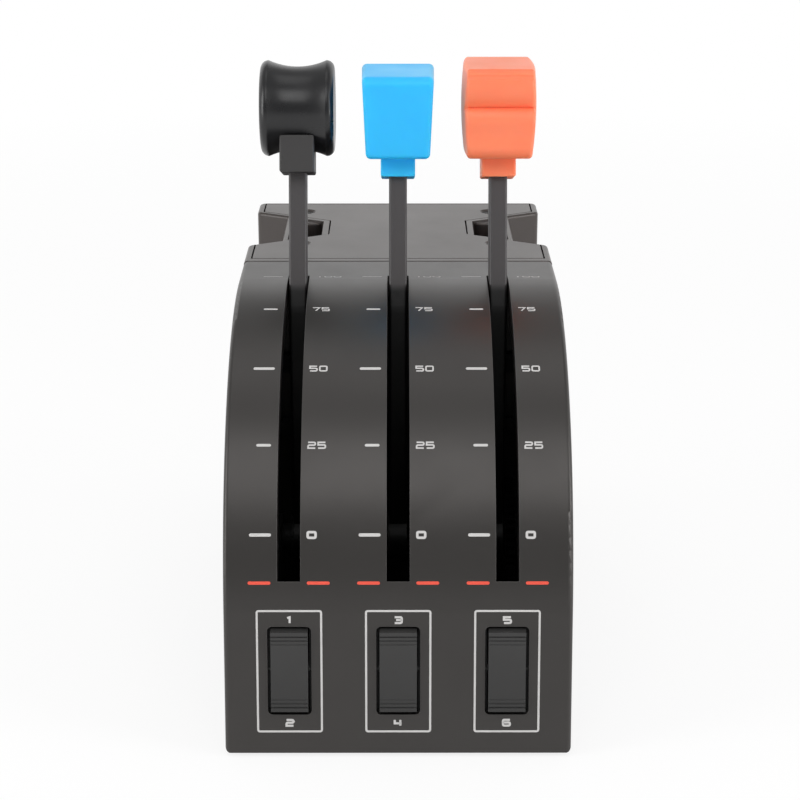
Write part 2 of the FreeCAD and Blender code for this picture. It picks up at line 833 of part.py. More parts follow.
def spool():
    """Turned grip with a hollow waist and rounded rims."""
    x = lever_places[0]
    centre_y, centre_z = up_bar(spool_centre)
    half = spool_width / 2
    waist = spool_radius - spool_waist
    near = spool_round * (1 - math.cos(math.pi / 4))

    def at(across, radius):
        return Vector(x + across, centre_y, centre_z + radius)

    left_low = at(-half, spool_radius - spool_round)
    left_top = at(spool_round - half, spool_radius)
    right_top = at(half - spool_round, spool_radius)
    right_low = at(half, spool_radius - spool_round)
    edges = [
        Part.LineSegment(at(-half, 0), left_low).toShape(),
        Part.Arc(left_low, at(near - half, spool_radius - near), left_top).toShape(),
        Part.Arc(left_top, at(0, waist), right_top).toShape(),
        Part.Arc(right_top, at(half - near, spool_radius - near), right_low).toShape(),
        Part.LineSegment(right_low, at(half, 0)).toShape(),
        Part.LineSegment(at(half, 0), at(-half, 0)).toShape(),
    ]
    return Part.Face(Part.Wire(edges)).revolve(at(0, 0), Vector(1, 0, 0), 360)


def spool_neck():
    """Socket that stands a little proud of the spool's waist in front."""
    x = lever_places[0]
    top = spool_centre - spool_neck_rise
    low = neck_start + 1.4
    outline = [
        up_bar(low, -spool_neck_depth),
        up_bar(top, -spool_neck_depth),
        up_bar(top, neck_depth / 2),
        up_bar(low, neck_depth / 2),
    ]
    block = along_x(outline, x - neck_width / 2, x + neck_width / 2)
    block = block.makeFillet(neck_round, long_edges(block, lambda b: b.ZLength > 3))
    return clean(block.cut(spool()).cut(bar_socket(0, lever_reach)))


def spool_knob():
    return clean(spool().cut(bar_socket(0, lever_reach)))


def flared_sides(x, front, back, top_z, foot_z):
    """Wedge that trims a grip: narrower at its foot, a little wider at its back."""
    past = 10.0
    slope = (block_width - block_foot_width) / 2 / (top_z - foot_z)
    flare = block_flare / (back - front)
    ends = []
    for y, wider in ((front - past, -flare * past), (back + past, block_flare + flare * past)):
        wide = (block_width + wider) / 2 + slope * past
        narrow = (block_foot_width + wider) / 2 - slope * past
        high = top_z + past
        low = foot_z - past
        corners = [(x - wide, high), (x + wide, high), (x + narrow, low), (x - narrow, low)]
        ends.append(flat(corners, "y", y).OuterWire)
    return Part.makeLoft(ends, True, True)


def block_knob():
    """Wide wedge grip: flat face, level top, narrower towards the neck."""
    x = lever_places[1]
    middle_y, foot_z = up_bar(grip_bottom)
    top_z = foot_z + block_height
    front = middle_y - block_lead
    back = front + block_depth
    outline = [
        (front + 1.4, foot_z),
        (front, top_z),
        (back, top_z - block_fall),
        (back - 3, foot_z + 3),
        (back - 8, foot_z),
    ]
    grip = along_x(outline, x - block_width, x + block_width)
    grip = grip.common(flared_sides(x, front, back, top_z, foot_z))
    brow = long_edges(grip, lambda b: b.YMax < front + 1 and b.ZMin > top_z - 1)
    grip = grip.makeFillet(block_brow, brow)
    low_brow = top_z - block_brow - 1
    rims = long_edges(grip, lambda b: b.XLength < 10 or b.YMin > front + block_brow + 1 or b.ZMax < low_brow)
    grip = grip.makeFillet(block_round, rims)
    return clean(grip.fuse(neck(1, grip_bottom + neck_sink)).cut(bar_socket(1, lever_reach)))


def ridged_knob():
    """Wheel-like grip: soft ridges round the brow, a crease, a full lower lobe."""
    x = lever_places[2]
    middle_y, foot_z = up_bar(grip_bottom)
    top_z = foot_z + ridged_height
    crease_z = foot_z + ridged_crease
    front = middle_y - ridged_depth / 2
    back = middle_y + ridged_depth / 2
    brow_y = front + ridged_brow
    brow_z = top_z - ridged_brow

    def at(inwards, z):
        return Vector(x - ridged_width / 2, front + inwards, z)

    def round_brow(turn, radius):
        angle = math.radians(turn)
        return brow_y - radius * math.cos(angle), brow_z + radius * math.sin(angle)

    brow_mid_y, brow_mid_z = round_brow(45, ridged_brow)
    crease = at(ridged_bite, crease_z)
    lobe = Part.BSplineCurve()
    lobe.interpolate(
        [
            crease,
            at(ridged_bite * 0.3, crease_z - ridged_crease * 0.07),
            at(0, crease_z - ridged_crease * 0.22),
            at(ridged_hollow, foot_z + ridged_crease * 0.45),
            at(0, foot_z + ridged_crease * 0.24),
            at(ridged_bite * 0.4, foot_z + ridged_crease * 0.06),
            at(ridged_bite, foot_z),
        ]
    )
    heel = at(ridged_depth - 5.0, foot_z)
    rear_mid = at(ridged_depth, foot_z + ridged_height * 0.55)
    rear_top = at(ridged_depth - 3.5, top_z)
    brow_mid = Vector(x - ridged_width / 2, brow_mid_y, brow_mid_z)
    edges = [
        Part.Arc(at(ridged_brow, top_z), brow_mid, at(0, brow_z)).toShape(),
        Part.Arc(at(0, brow_z), at(0.3, (brow_z + crease_z) / 2), crease).toShape(),
        lobe.toShape(),
        Part.LineSegment(at(ridged_bite, foot_z), heel).toShape(),
        Part.LineSegment(heel, rear_mid).toShape(),
        Part.LineSegment(rear_mid, rear_top).toShape(),
        Part.LineSegment(rear_top, at(ridged_brow, top_z)).toShape(),
    ]
    grip = Part.Face(Part.Wire(edges)).extrude(Vector(ridged_width, 0, 0))
    for side in (-1, 1):
        dome_x = x + side * (ridged_width / 2 - ridged_dome)
        dome = Part.makeSphere(ridged_dome, Vector(dome_x, (front + back) / 2, foot_z + ridged_height * 0.55))
        if side > 0:
            dome.rotate(Vector(dome_x, (front + back) / 2, 0), Vector(0, 0, 1), 180)
        grip = grip.common(dome)
    rims = long_edges(grip, lambda b: b.XLength < 5)
    grip = grip.makeFillet(ridged_round, rims)
    for turn in groove_turns:
        y, z = round_brow(turn, ridged_brow + groove_radius - groove_depth)
        grip = grip.cut(rod_x(groove_radius, x - ridged_width, x + ridged_width, y, z))
    return clean(grip.fuse(neck(2, grip_bottom + neck_sink)).cut(bar_socket(2, lever_reach)))


# ---------------------------------------------------------------- rocker switches
def rocker(index):
    """Rocker with round ends about its pivot, a dished top and ribs at both ends."""
    half = rocker_width / 2
    deep = rocker_deep
    top = rocker_proud
    end = math.sqrt(rocker_arc ** 2 - (top + rocker_pivot_depth) ** 2)
    low_end = math.sqrt(rocker_arc ** 2 - deep ** 2)

    def at(along, out):
        return Vector(-half, along, out)

    pivot = -rocker_pivot_depth
    edges = [
        Part.Arc(at(-end, top), at(0, top - rocker_dip), at(end, top)).toShape(),
        Part.Arc(at(end, top), at(rocker_arc, pivot), at(low_end, pivot - deep)).toShape(),
        Part.LineSegment(at(low_end, pivot - deep), at(-low_end, pivot - deep)).toShape(),
        Part.Arc(at(-low_end, pivot - deep), at(-rocker_arc, pivot), at(-end, top)).toShape(),
    ]
    body = Part.Face(Part.Wire(edges)).extrude(Vector(rocker_width, 0, 0))
    for side in (-1, 1):
        for number in range(rib_count):
            along = side * (end - rib_start - rib_pitch * number)
            low = along - rib_groove / 2
            high = along + rib_groove / 2
            body = body.cut(box(-half - 1, half + 1, low, high, top - rib_depth, top + 1))
    reach = half + switch_wall - 0.2
    trunnion = rod_x(trunnion_radius, -reach, reach, 0, pivot)
    return on_face(clean(body.fuse(trunnion)), lever_places[index])


def switch_body(index):
    """Open box behind the fascia that carries the rocker's trunnions."""
    inner_half = rocker_width / 2 + switch_play
    outer_half = rocker_width / 2 + switch_wall
    inner_long = rocker_arc + rocker_end_gap
    outer_long = inner_long + switch_wall
    low = -wall - switch_depth
    case = box(-outer_half, outer_half, -outer_long, outer_long, low, -wall)
    room = box(-inner_half, inner_half, -inner_long, inner_long, low + switch_wall, 0)
    case = case.cut(room)
    bore = trunnion_radius + running_gap
    case = case.cut(rod_x(bore, -outer_half - 1, outer_half + 1, 0, -rocker_pivot_depth))
    wide = switch_tag_width / 2
    thick = switch_tag_thick / 2
    for step in (-1, 0, 1):
        along = step * switch_tag_pitch
        case = case.fuse(box(-wide, wide, along - thick, along + thick, low - tag_length, low + 0.5))
    return on_face(clean(case), lever_places[index])


# ---------------------------------------------------------------- desk clamp
def notch_line(x, offset=0.0):
    """Depths of the front and rear edges of the waist notch at an X place."""
    share = (half_width - x) / (half_width - notch_inner)
    front = notch_front_y + notch_slope * share + offset
    rear = notch_rear_y - notch_slope * share - offset
    return front, rear


def arm_block():
    low_y = joint_y + arm_joint_gap
    near, far = notch_line(notch_wall_outer)
    right = [
        (half_width, low_y),
        (half_width, notch_line(half_width)[0]),
        (notch_wall_outer, near),
        (notch_wall_outer, far),
        (half_width, notch_line(half_width)[1]),
        (half_width, rear_y),
    ]
    block = along_z(both_sides(right), arm_bottom, top_height)
    upright = long_edges(block, lambda b: b.XLength < 1e-6 and b.YLength < 1e-6 and b.YMin > low_y + 1)
    corners = [edge for edge in upright if abs(edge.BoundBox.XMin) > half_width - 1]
    block = block.makeFillet(arm_corner, corners)
    top = long_edges(block, lambda b: b.ZMin > top_height - 1e-3)
    return block.makeFillet(arm_edge, top)


def cover_outline(gap):
    """Bow-tie outline of the inset cover; gap widens it to the recess."""
    side = half_width - cover_side_rim + gap
    inner = notch_inner - cover_notch_rim + gap
    near_side = notch_line(side)[0]
    near_inner = notch_line(inner)[0]
    far_inner = notch_line(inner)[1] + cover_notch_rim - gap
    far_side = notch_line(side)[1] + cover_notch_rim - gap
    return both_sides(
        [
            (side, joint_y + arm_joint_gap + cover_front_rim - gap),
            (side, near_side),
            (inner, near_inner),
            (inner, far_inner),
            (side, far_side),
            (side, rear_y - cover_rear_rim + gap),
        ]
    )


def well_outline(side):
    outer = notch_wall_outer - notch_wall
    near_out, far_out = notch_line(outer)
    near_in, far_in = notch_line(notch_inner)
    points = [(outer, near_out), (notch_inner, near_in), (notch_inner, far_in), (outer, far_out)]
    return [(side * x, y) for x, y in points]


def window_outline(side):
    """Opening from a well, under the bridge of its rear wall, into the hollow arm."""
    outer = notch_wall_outer - notch_wall - 1.0
    inner = notch_inner + 1.0
    far_out = notch_line(outer)[1]
    far_in = notch_line(inner)[1]
    reach = cover_notch_rim + arm_wall + 1.0
    points = [(outer, far_out - 1), (inner, far_in - 1), (inner, far_in + reach), (outer, far_out + reach)]
    return [(side * x, y) for x, y in points]


def cover_screw_places():
    x = half_width - cover_screw_inset
    rows = (notch_front_y + cover_screw_rims[0], notch_rear_y + cover_screw_rims[1])
    return [(sx * x, y) for sx in (-1, 1) for y in rows]


def countersink(x, y, slack, height):
    """Cone that widens to the cover's face; slack makes it the smaller screw head."""
    low = sink_radius - slack
    grow = 1.1 * height
    return Part.makeCone(low, low + grow, height, Vector(x, y, top_height - sink_height), Vector(0, 0, 1))


def clamp_cover():
    plate = along_z(cover_outline(0), top_height - cover_thick, top_height).common(arm_block())
    for x, y in cover_screw_places():
        sink = countersink(x, y, 0, sink_height)
        bore = rod_z(screw_radius + 0.2, top_height - cover_thick - 1, top_height, x, y)
        plate = plate.cut(sink).cut(bore)
    return clean(plate)


def cover_screws():
    screws = []
    for x, y in cover_screw_places():
        head = countersink(x, y, 0.05, sink_height * 0.6)
        low = top_height - cover_thick - screw_bite
        shank = rod_z(screw_radius, low, top_height - sink_height, x, y)
        slot = box(x - 2, x + 2, y - 0.4, y + 0.4, top_height - sink_height + 0.5, top_height)
        slot = slot.fuse(slot.rotated(Vector(x, y, 0), Vector(0, 0, 1), 90))
        screws.append(clean(head.fuse(shank).cut(slot)))
    return Part.makeCompound(screws)


def gap_stops():
    """Small blocks that end the gaps beside the cover where they meet the waist."""
    inner = half_width - cover_side_rim
    outer = inner + cover_gap
    y = notch_line(outer)[0]
    stops = []
    for side in (-1, 1):
        low, high = sorted((side * (inner + 0.05), side * (outer + 0.2)))
        stops.append(box(low, high, y - 2 * cover_gap, y, top_height - cover_thick, top_height))
    return Part.makeCompound(stops).common(arm_block())


def clamp_arm():
    """Upper arm as a tray with two wells, on the spine that bolts to the housing."""
    ledge = top_height - cover_thick
    recess = along_z(cover_outline(cover_gap), ledge, top_height + 1)
    arm = arm_block().cut(recess).fuse(gap_stops())
    cavity = flat(cover_outline(0), "z", arm_bottom + arm_wall).makeOffset2D(-arm_wall, 2)
    arm = arm.cut(cavity.extrude(Vector(0, 0, arm_height)))
    bridge_z = top_height - rim_height
    boss_top = top_height - boss_drop
    boss_x = notch_inner + boss_inset
    for side in (-1, 1):
        arm = arm.cut(along_z(well_outline(side), arm_bottom + arm_wall, top_height + 1))
        arm = arm.cut(along_z(window_outline(side), arm_bottom + arm_wall, bridge_z))
        boss = rod_z(boss_radius, bridge_z, boss_top, side * boss_x, notch_line(boss_x)[1] + 1)
        boss = boss.makeFillet(boss_round, long_edges(boss, lambda b: b.ZMin > boss_top - 0.01))
        arm = arm.fuse(boss.cut(recess))
    for x, y in cover_screw_places():
        post = rod_z(cover_post_radius, arm_bottom + 1, ledge, x, y)
        arm = arm.fuse(post).cut(rod_z(screw_radius, ledge - screw_bite - 1, ledge + 1, x, y))
    low_y = joint_y + arm_joint_gap
    reach = half_width - spine_inset
    spine = box(-reach, reach, low_y, spine_rear, jaw_top - jaw_thick, arm_bottom + 1)
    arm = arm.fuse(spine)
    for x, z in clamp_bolt_places():
        sink = bolt_radius + bolt_rim + 0.5
        arm = arm.cut(rod_y(bolt_radius + bolt_play, low_y - 1, spine_rear + 1, x, z))
        arm = arm.cut(rod_y(sink, spine_rear - bolt_sink, spine_rear + 1, x, z))
    for x, z in jaw_bolt_places():
        sink = bolt_radius + bolt_rim + 0.2
        arm = arm.cut(rod_y(bolt_radius + 0.1, low_y - 1, spine_rear + 1, x, z))
        arm = arm.cut(rod_y(sink, low_y - 1, low_y + bolt_sink, x, z))
    return clean(arm)


def clamp_bolt_places():
    x = half_width - clamp_bolt_inset
    return [(sx * x, arm_bottom - drop) for sx in (-1, 1) for drop in clamp_bolt_drops]


def hex_y(radius, y_low, y_high, x, z):
    points = []
    for number in range(6):
        turn = math.radians(60 * number)
        points.append((x + radius * math.cos(turn), z + radius * math.sin(turn)))
    return flat(points, "y", y_low).extrude(Vector(0, y_high - y_low, 0))


def clamp_bolts():
    bolts = []
    for x, z in clamp_bolt_places():
        head_y = spine_rear - bolt_sink
        head = rod_y(bolt_radius + bolt_rim, head_y, head_y + bolt_head, x, z)
        head = head.cut(hex_y(bolt_socket, head_y + bolt_head / 3, head_y + bolt_sink, x, z))
        inside = joint_y - wall
        shank = rod_y(bolt_radius, inside - bolt_sink, head_y, x, z)
        nut = hex_y(bolt_radius + bolt_rim, inside - bolt_head, inside, x, z)
        bolts.append(clean(head.fuse(shank).fuse(nut)))
    return Part.makeCompound(bolts)


def jaw_bolt_places():
    return [(sx * jaw_bolt_spread, jaw_top - jaw_thick / 2) for sx in (-1, 1)]


def jaw_bolts():
    """Bolts from the spine's front into the jaw's rear wall, heads sunk in the spine."""
    bolts = []
    for x, z in jaw_bolt_places():
        seat = joint_y + arm_joint_gap + bolt_sink
        head = rod_y(bolt_radius + bolt_rim, seat - bolt_head, seat, x, z)
        head = head.cut(hex_y(bolt_socket, seat - bolt_sink, seat - bolt_head / 2, x, z))
        bolts.append(clean(head.fuse(rod_y(bolt_radius, seat, spine_rear + jaw_wall, x, z))))
    return Part.makeCompound(bolts)


def clamp_jaw():
    """Lower jaw with two threaded bosses, its webs open towards the wheels."""
    reach = half_width - jaw_inset
    low = jaw_top - jaw_thick
    back = clamp_screw_y + jaw_past
    jaw = box(-reach, reach, spine_rear, back, low, jaw_top)
    corners = long_edges(jaw, lambda b: b.XLength < 1e-6 and b.YLength < 1e-6 and b.YMin > spine_rear + 1)
    jaw = jaw.makeFillet(jaw_corner, corners)
    side_x = reach - jaw_wall
    near = spine_rear + jaw_wall + 1
    room = box(-side_x, side_x, near, back - jaw_wall, low - 1, jaw_top - jaw_wall - 1)
    half = jaw_wall / 2
    for x in (-clamp_screw_spread, 0, clamp_screw_spread):
        room = room.cut(box(x - half, x + half, spine_rear, back, low - 2, jaw_top))
    jaw = jaw.cut(room)
    for side in (-1, 1):
        x = side * clamp_screw_spread
        jaw = jaw.fuse(rod_z(clamp_thread + clamp_boss_wall, low, jaw_top, x, clamp_screw_y))
        jaw = jaw.cut(rod_z(clamp_thread + running_gap, low - 1, jaw_top + 1, x, clamp_screw_y))
    for x, z in jaw_bolt_places():
        jaw = jaw.cut(rod_y(bolt_radius, spine_rear - 1, near + 1, x, z))
    return clean(jaw)


def clamp_screw(side):
    """Thumb screw: wheel under the jaw, thread through it, ball tip under the pad."""
    x = side * clamp_screw_spread
    y = clamp_screw_y
    low = jaw_top - jaw_thick - clamp_lift - clamp_gap
    wheel = rod_z(wheel_radius, low - wheel_thick, low, x, y)
    for number in range(wheel_lobes):
        turn = 2 * math.pi * number / wheel_lobes
        bite_x = x + (wheel_radius + lobe_out) * math.cos(turn)
        bite_y = y + (wheel_radius + lobe_out) * math.sin(turn)
        wheel = wheel.cut(rod_z(lobe_radius, low - wheel_thick - 1, low + 1, bite_x, bite_y))
    tip = jaw_top + stud_length
    thread = rod_z(clamp_thread, low, tip, x, y)
    ball = rod_z(ball_radius, tip, tip + ball_length, x, y)
    return clean(wheel.fuse(thread).fuse(ball))


def clamp_pad(side):
    """Swivel pad that presses the desk from below."""
    x = side * clamp_screw_spread
    y = clamp_screw_y
    low = jaw_top + pad_stand
    pad = rod_z(pad_radius, low, low + pad_thick, x, y)
    rim = long_edges(pad, lambda b: b.ZMin > low + pad_thick - 1e-3)
    pad = pad.makeFillet(pad_edge, rim)
    tip = jaw_top + stud_length
    pad = pad.cut(rod_z(clamp_thread + pad_play, low - 1, tip + 0.05, x, y))
    return clean(pad.cut(rod_z(ball_radius + pad_play, low - 1, tip + ball_length + 0.1, x, y)))


def desk_pad():
    """Rubber sheet under the arm, where it lies on the desk."""
    low_y = spine_rear + 4
    reach = notch_inner - desk_pad_inset
    high_y = rear_y - desk_pad_inset
    sheet = box(-reach, reach, low_y, high_y, arm_bottom - desk_pad_thick, arm_bottom)
    corners = long_edges(sheet, lambda b: b.XLength < 1e-6 and b.YLength < 1e-6)
    return sheet.makeFillet(desk_pad_corner, corners)


# ---------------------------------------------------------------- all pieces
def pieces():
    parts = {
        "front_cover": front_cover(),
        "left_side_shell": side_shell(-1),
        "right_side_shell": side_shell(1),
        "base_plate": base_plate(),
        "rear_cover": rear_cover(),
        "rubber_feet": feet(),
        "cable_gland": cable_gland(),
        "chassis": chassis(),
        "chassis_screws": chassis_screws(),
        "circuit_board": circuit_board(),
        "board_screws": board_screws(),
        "base_screws": base_screws(),
        "sensor_leads": sensor_leads(),
        "switch_leads": switch_leads(),
        "lever_shaft": shaft(),
        "shaft_spacers": spacers(),
        "friction_washers": friction_washers(),
        "throttle_knob": spool_knob(),
        "throttle_knob_neck": spool_neck(),
        "propeller_knob": block_knob(),
        "mixture_knob": ridged_knob(),
        "clamp_arm": clamp_arm(),
        "clamp_cover": clamp_cover(),
        "cover_screws": cover_screws(),
        "clamp_bolts": clamp_bolts(),
        "jaw_bolts": jaw_bolts(),
        "clamp_jaw": clamp_jaw(),
        "desk_pad": desk_pad(),
    }
    for index, name in enumerate(lever_names):
        parts[name + "_lever"] = lever_bar(index)
        parts[name + "_sector"] = sector_gear(index)
        parts[name + "_pinion"] = pinion(index)
        parts[name + "_sensor"] = sensor(index)
    for index, name in enumerate(switch_names):
        parts[name + "_rocker"] = rocker(index)
        parts[name + "_switch_body"] = switch_body(index)
    for side, name in ((-1, "left"), (1, "right")):
        parts[name + "_clamp_screw"] = clamp_screw(side)
        parts[name + "_clamp_pad"] = clamp_pad(side)
    return parts


os.makedirs("parts", exist_ok=True)
for name, shape in pieces().items():
    print(name, len(shape.Solids), round(shape.Volume), shape.isValid())
    shape.exportStep("parts/" + name + ".step")
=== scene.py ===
import json
import math

import bmesh
import bpy
from mathutils import Matrix, Vector


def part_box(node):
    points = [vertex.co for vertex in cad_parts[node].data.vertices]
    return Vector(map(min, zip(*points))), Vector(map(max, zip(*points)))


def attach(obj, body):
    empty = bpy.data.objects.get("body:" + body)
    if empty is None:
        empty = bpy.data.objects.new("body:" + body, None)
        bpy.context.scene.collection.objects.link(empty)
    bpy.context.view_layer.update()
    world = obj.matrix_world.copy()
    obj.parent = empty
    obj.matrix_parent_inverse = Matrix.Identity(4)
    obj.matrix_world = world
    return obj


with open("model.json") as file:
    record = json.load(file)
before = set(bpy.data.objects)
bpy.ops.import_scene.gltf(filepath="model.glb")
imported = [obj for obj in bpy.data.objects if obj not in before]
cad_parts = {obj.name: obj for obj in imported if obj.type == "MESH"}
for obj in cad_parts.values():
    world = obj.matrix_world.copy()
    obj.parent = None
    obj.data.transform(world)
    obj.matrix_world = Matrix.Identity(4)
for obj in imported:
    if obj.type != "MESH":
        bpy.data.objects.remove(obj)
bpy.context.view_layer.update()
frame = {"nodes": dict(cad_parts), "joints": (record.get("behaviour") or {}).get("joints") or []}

mm = 0.001
nodes = frame["nodes"]
joints = {joint["name"]: joint for joint in frame["joints"]}
leverNames = ["throttle", "propeller", "mixture"]
switchNames = ["left", "middle", "right"]
leverX = [joints[name + "_lever_hinge"]["pos_m"][0] for name in leverNames]
print("frame loaded:", len(nodes), "nodes")


# the fascia's shape, worked out from the frame
coverLow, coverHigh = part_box("front_cover")
shaft = Vector(joints["propeller_lever_hinge"]["pos_m"])
fasciaRadius = coverHigh.z - shaft.z
reachBack = shaft.y - coverLow.y
reachUp = shaft.z - coverLow.z
faceTilt = math.acos(fasciaRadius / math.hypot(reachBack, reachUp)) - math.atan2(reachUp, reachBack)
tangentUp = reachUp + fasciaRadius * math.sin(faceTilt)  # where the straight face meets the arc


def onArc(x, angle):
    return Vector((x, shaft.y - fasciaRadius * math.cos(angle), shaft.z + fasciaRadius * math.sin(angle)))


def planeAt(spot, angle):
    # local X runs across the fascia, Y up it and Z out of it
    across = Vector((1, 0, 0))
    up = Vector((0, math.sin(angle), math.cos(angle)))
    return Matrix.Translation(spot) @ Matrix((across, up, across.cross(up))).transposed().to_4x4()


def arcPlane(x, degrees):
    # place on the curved part, at an angle above the horizontal
    angle = math.radians(degrees)
    return planeAt(onArc(x, angle), angle)


def facePlane(x):
    # place on the straight lower face, at its bottom edge
    drop = tangentUp / math.cos(faceTilt)
    up = Vector((0, math.sin(faceTilt), math.cos(faceTilt)))
    return planeAt(onArc(x, faceTilt) - up * drop, faceTilt)


# shader groups that the finishes share
def newGroup(name, inputs, outputs):
    group = bpy.data.node_groups.new(name, "ShaderNodeTree")
    for label, kind, value in inputs:
        socket = group.interface.new_socket(label, in_out="INPUT", socket_type="NodeSocket" + kind)
        if value is not None:
            socket.default_value = value
    for label, kind in outputs:
        group.interface.new_socket(label, in_out="OUTPUT", socket_type="NodeSocket" + kind)
    start = group.nodes.new("NodeGroupInput")
    end = group.nodes.new("NodeGroupOutput")
    return group, start, end


def addNode(tree, kind, values=None, **settings):
    # values go to the node's sockets, settings to the node itself
    node = tree.nodes.new(kind)
    for key, value in settings.items():
        setattr(node, key, value)
    for key, value in (values or {}).items():
        node.inputs[key].default_value = value
    return node


def setRange(node, start, end):
    # what a map range node takes in, and what it gives for that
    node.inputs["From Min"].default_value, node.inputs["From Max"].default_value = start
    node.inputs["To Min"].default_value, node.inputs["To Max"].default_value = end


def makeMouldedGrain():
    # texture of an eroded mould: fine noise and coarser cells, given as a height
    group, start, end = newGroup(
        "mouldedGrain",
        [("Scale", "Float", 2500.0), ("Coarse Share", "Float", 0.35)],
        [("Height", "Float")],
    )
    link = group.links.new
    place = addNode(group, "ShaderNodeTexCoord")
    fine = addNode(group, "ShaderNodeTexNoise", {"Detail": 2.0, "Roughness": 0.6})
    coarse = addNode(group, "ShaderNodeTexVoronoi", feature="SMOOTH_F1")
    # the coarse cells' scale is a share of the fine noise's
    ratio = addNode(group, "ShaderNodeMath", {1: 0.42}, operation="MULTIPLY")
    blend = addNode(group, "ShaderNodeMix", data_type="FLOAT")
    link(place.outputs["Object"], fine.inputs["Vector"])
    link(place.outputs["Object"], coarse.inputs["Vector"])
    link(start.outputs["Scale"], fine.inputs["Scale"])
    link(start.outputs["Scale"], ratio.inputs[0])
    link(ratio.outputs[0], coarse.inputs["Scale"])
    link(start.outputs["Coarse Share"], blend.inputs["Factor"])
    link(fine.outputs["Fac"], blend.inputs["A"])
    link(coarse.outputs["Distance"], blend.inputs["B"])
    link(blend.outputs["Result"], end.inputs["Height"])
    return group


def makeHandlingWear():
    # large soft patches, as wiping leaves them, and a mask for thin edges, which are lightened partly as
    # wear and partly as painted highlight
    group, start, end = newGroup(
        "wearAndEdgeHighlight",
        [
            ("Patch Scale", "Float", 40.0),
            ("Edge Width", "Float", 0.0004),
            ("Edge Wear And Highlight", "Float", 0.5),
        ],
        [("Patches", "Float"), ("Edges", "Float")],
    )
    link = group.links.new
    place = addNode(group, "ShaderNodeTexCoord")
    cloud = addNode(group, "ShaderNodeTexNoise", {"Detail": 4.0, "Roughness": 0.55})
    bevel = addNode(group, "ShaderNodeBevel", samples=4)
    surface = addNode(group, "ShaderNodeNewGeometry")
    turn = addNode(group, "ShaderNodeVectorMath", operation="DOT_PRODUCT")
    flip = addNode(group, "ShaderNodeMath", {0: 1.0}, operation="SUBTRACT")
    # five times the turn of the rounded normal, so that a sharp corner gets the full pale edge of wear
    # and painted highlight
    gain = addNode(group, "ShaderNodeMath", {1: 5.0}, operation="MULTIPLY", use_clamp=True)
    scatter = addNode(group, "ShaderNodeMath", operation="MULTIPLY")
    amount = addNode(group, "ShaderNodeMath", operation="MULTIPLY", use_clamp=True)
    link(place.outputs["Object"], cloud.inputs["Vector"])
    link(start.outputs["Patch Scale"], cloud.inputs["Scale"])
    link(start.outputs["Edge Width"], bevel.inputs["Radius"])
    link(bevel.outputs["Normal"], turn.inputs[0])
    link(surface.outputs["Normal"], turn.inputs[1])
    link(turn.outputs["Value"], flip.inputs[1])
    link(flip.outputs[0], gain.inputs[0])
    link(gain.outputs[0], scatter.inputs[0])
    link(cloud.outputs["Fac"], scatter.inputs[1])
    link(scatter.outputs[0], amount.inputs[0])
    link(start.outputs["Edge Wear And Highlight"], amount.inputs[1])
    link(cloud.outputs["Fac"], end.inputs["Patches"])
    link(amount.outputs[0], end.inputs["Edges"])
    return group


mouldedGrain = makeMouldedGrain()
wearAndEdgeHighlight = makeHandlingWear()


